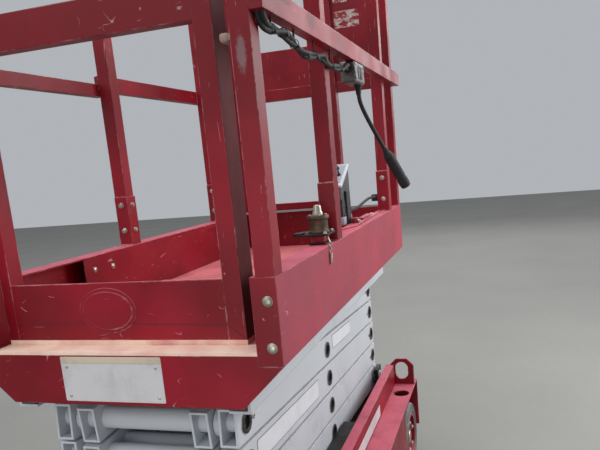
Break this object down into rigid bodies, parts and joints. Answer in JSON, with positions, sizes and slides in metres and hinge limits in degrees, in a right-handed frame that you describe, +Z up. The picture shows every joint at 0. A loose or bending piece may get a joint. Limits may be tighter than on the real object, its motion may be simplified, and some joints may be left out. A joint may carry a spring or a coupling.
{
  "type": "scissor lift",
  "caption": "Compact electric scissor lift: narrow wheeled chassis, crossed-arm stack and a railed platform with a roll-out extension and a rear gate.",
  "frame": {"origin": "on the ground, at the middle of the machine's length and width", "axes": "+X to the side with the outlet box, +Y to the rear entry gate, +Z up; the extension rolls out towards -Y"},
  "size_m": [0.8524, 1.435, 1.96],
  "materials": {
    "red_paint": "worn gloss paint",
    "grey_paint": "satin paint",
    "plated_steel": "zinc plated",
    "dark_steel": "dark, oily",
    "chrome_rod": "polished",
    "tyre": "non-marking grey rubber",
    "rim_paint": "satin paint",
    "black_plastic": "moulded",
    "black_rubber": "matte",
    "battery": "matte"
  },
  "bodies": {
    "chassis": {"chassis_frame": "red_paint", "side_rails": "red_paint", "fender_plates": "red_paint", "tie_down_eyes": "red_paint", "chassis_tracks": "red_paint", "side_trays": "red_paint", "tray_loads": "battery", "rear_bulkhead": "red_paint", "ladder": "red_paint"},
    "cover_right": {"tray_cover_right": "red_paint"},
    "cover_left": {"tray_cover_left": "red_paint"},
    "guards": {"pothole_guards": "red_paint"},
    "steer_right": {"knuckle_right": "dark_steel"},
    "steer_left": {"knuckle_left": "dark_steel"},
    "lift_barrel": {"lift_cylinder_barrel": "grey_paint"},
    "lift_rod": {"lift_cylinder_rod": "chrome_rod"},
    "platform": {"toe_boards": "red_paint", "board_bolts": "plated_steel", "platform_deck": "red_paint", "front_apron": "red_paint", "platform_beams": "red_paint", "right_posts": "red_paint", "left_posts": "red_paint", "guard_rails": "red_paint", "rear_frame": "red_paint", "outlet_box": "plated_steel", "conduit": "black_plastic", "cord": "black_rubber", "cord_connector": "black_rubber", "control_box": "black_plastic", "deck_latch": "dark_steel"},
    "gate": {"entry_gate": "red_paint"},
    "extension": {"extension_deck": "red_paint", "extension_panel": "red_paint", "extension_posts": "red_paint", "extension_rails": "red_paint"},
    "wheel_front_right": {"tyre_front_right": "tyre", "rim_front_right": "rim_paint"},
    "wheel_front_left": {"tyre_front_left": "tyre", "rim_front_left": "rim_paint"},
    "wheel_rear_right": {"tyre_rear_right": "tyre", "rim_rear_right": "rim_paint"},
    "wheel_rear_left": {"tyre_rear_left": "tyre", "rim_rear_left": "rim_paint"},
    "outer_1": {"outer_arms_1": "grey_paint"},
    "inner_1": {"inner_arms_1": "grey_paint"},
    "outer_2": {"outer_arms_2": "grey_paint"},
    "inner_2": {"inner_arms_2": "grey_paint"},
    "outer_3": {"outer_arms_3": "grey_paint"},
    "inner_3": {"inner_arms_3": "grey_paint"},
    "outer_4": {"outer_arms_4": "grey_paint"},
    "inner_4": {"inner_arms_4": "grey_paint"},
    "outer_5": {"outer_arms_5": "grey_paint"},
    "inner_5": {"inner_arms_5": "grey_paint"}
  },
  "joints": [
    {"name": "raise", "type": "hinge", "parent": "chassis", "child": "outer_1", "pos_m": [0, 0.622, 0.33], "axis": [-1, 0, 0], "range_deg": [0, 56]},
    {"name": "cross_1", "type": "hinge", "parent": "outer_1", "child": "inner_1", "pos_m": [0, 0.0035, 0.37375], "axis": [-1, 0, 0], "range_deg": [-112, 0]},
    {"name": "stack_2", "type": "hinge", "parent": "inner_1", "child": "outer_2", "pos_m": [0, 0.622, 0.4175], "axis": [-1, 0, 0], "range_deg": [0, 112]},
    {"name": "cross_2", "type": "hinge", "parent": "outer_2", "child": "inner_2", "pos_m": [0, 0.0035, 0.46125], "axis": [-1, 0, 0], "range_deg": [-112, 0]},
    {"name": "stack_3", "type": "hinge", "parent": "inner_2", "child": "outer_3", "pos_m": [0, 0.622, 0.505], "axis": [-1, 0, 0], "range_deg": [0, 112]},
    {"name": "cross_3", "type": "hinge", "parent": "outer_3", "child": "inner_3", "pos_m": [0, 0.0035, 0.54875], "axis": [-1, 0, 0], "range_deg": [-112, 0]},
    {"name": "stack_4", "type": "hinge", "parent": "inner_3", "child": "outer_4", "pos_m": [0, 0.622, 0.5925], "axis": [-1, 0, 0], "range_deg": [0, 112]},
    {"name": "cross_4", "type": "hinge", "parent": "outer_4", "child": "inner_4", "pos_m": [0, 0.0035, 0.63625], "axis": [-1, 0, 0], "range_deg": [-112, 0]},
    {"name": "stack_5", "type": "hinge", "parent": "inner_4", "child": "outer_5", "pos_m": [0, 0.622, 0.68], "axis": [-1, 0, 0], "range_deg": [0, 112]},
    {"name": "cross_5", "type": "hinge", "parent": "outer_5", "child": "inner_5", "pos_m": [0, 0.0035, 0.72375], "axis": [-1, 0, 0], "range_deg": [-112, 0]},
    {"name": "platform_level", "type": "hinge", "parent": "inner_5", "child": "platform", "pos_m": [0, 0.622, 0.7675], "axis": [-1, 0, 0], "range_deg": [0, 56]},
    {"name": "barrel_tilt", "type": "hinge", "parent": "inner_1", "child": "lift_barrel", "pos_m": [0, -0.55515, 0.33423], "axis": [1, 0, 0], "range_deg": [0, 10.31]},
    {"name": "rod_slide", "type": "slide", "parent": "lift_barrel", "child": "lift_rod", "axis": [0, 0.9888, 0.1492], "range_m": [0, 0.99123]},
    {"name": "guard_drop", "type": "slide", "parent": "chassis", "child": "guards", "axis": [0, 0, -1], "range_m": [0, 0.0351]},
    {"name": "extension_slide", "type": "slide", "parent": "platform", "child": "extension", "axis": [0, -1, 0], "range_m": [0, 0.5]},
    {"name": "gate_swing", "type": "hinge", "parent": "platform", "child": "gate", "pos_m": [-0.29, 0.688, 1.46], "axis": [0, 0, -1], "range_deg": [0, 90]},
    {"name": "cover_right_swing", "type": "hinge", "parent": "chassis", "child": "cover_right", "pos_m": [0.37, 0.369, 0.194], "axis": [0, 0, 1], "range_deg": [0, 90]},
    {"name": "cover_left_swing", "type": "hinge", "parent": "chassis", "child": "cover_left", "pos_m": [-0.37, 0.369, 0.194], "axis": [0, 0, -1], "range_deg": [0, 90]},
    {"name": "steer_left", "type": "hinge", "parent": "chassis", "child": "steer_left", "pos_m": [-0.262, -0.53, 0.2], "axis": [0, 0, 1], "range_deg": [-60, 60]},
    {"name": "steer_right", "type": "hinge", "parent": "chassis", "child": "steer_right", "pos_m": [0.262, -0.53, 0.2], "axis": [0, 0, 1], "range_deg": [-60, 60]},
    {"name": "roll_front_right", "type": "hinge", "parent": "steer_right", "child": "wheel_front_right", "pos_m": [0.338, -0.53, 0.127], "axis": [1, 0, 0], "continuous": true},
    {"name": "roll_front_left", "type": "hinge", "parent": "steer_left", "child": "wheel_front_left", "pos_m": [-0.338, -0.53, 0.127], "axis": [1, 0, 0], "continuous": true},
    {"name": "roll_rear_right", "type": "hinge", "parent": "chassis", "child": "wheel_rear_right", "pos_m": [0.338, 0.515, 0.127], "axis": [1, 0, 0], "continuous": true},
    {"name": "roll_rear_left", "type": "hinge", "parent": "chassis", "child": "wheel_rear_left", "pos_m": [-0.338, 0.515, 0.127], "axis": [1, 0, 0], "continuous": true}
  ],
  "couplings": [
    {"joint": "cross_1", "follows": "raise", "ratio": -2},
    {"joint": "stack_2", "follows": "raise", "ratio": 2},
    {"joint": "cross_2", "follows": "raise", "ratio": -2},
    {"joint": "stack_3", "follows": "raise", "ratio": 2},
    {"joint": "cross_3", "follows": "raise", "ratio": -2},
    {"joint": "stack_4", "follows": "raise", "ratio": 2},
    {"joint": "cross_4", "follows": "raise", "ratio": -2},
    {"joint": "stack_5", "follows": "raise", "ratio": 2},
    {"joint": "cross_5", "follows": "raise", "ratio": -2},
    {"joint": "platform_level", "follows": "raise", "ratio": 1},
    {"joint": "barrel_tilt", "follows": "raise", "ratio": 0.18392},
    {"joint": "rod_slide", "follows": "raise", "m_per_rad": 1.0141},
    {"joint": "guard_drop", "follows": "raise", "m_per_rad": 0.03581},
    {"joint": "steer_right", "follows": "steer_left", "ratio": 1}
  ]
}
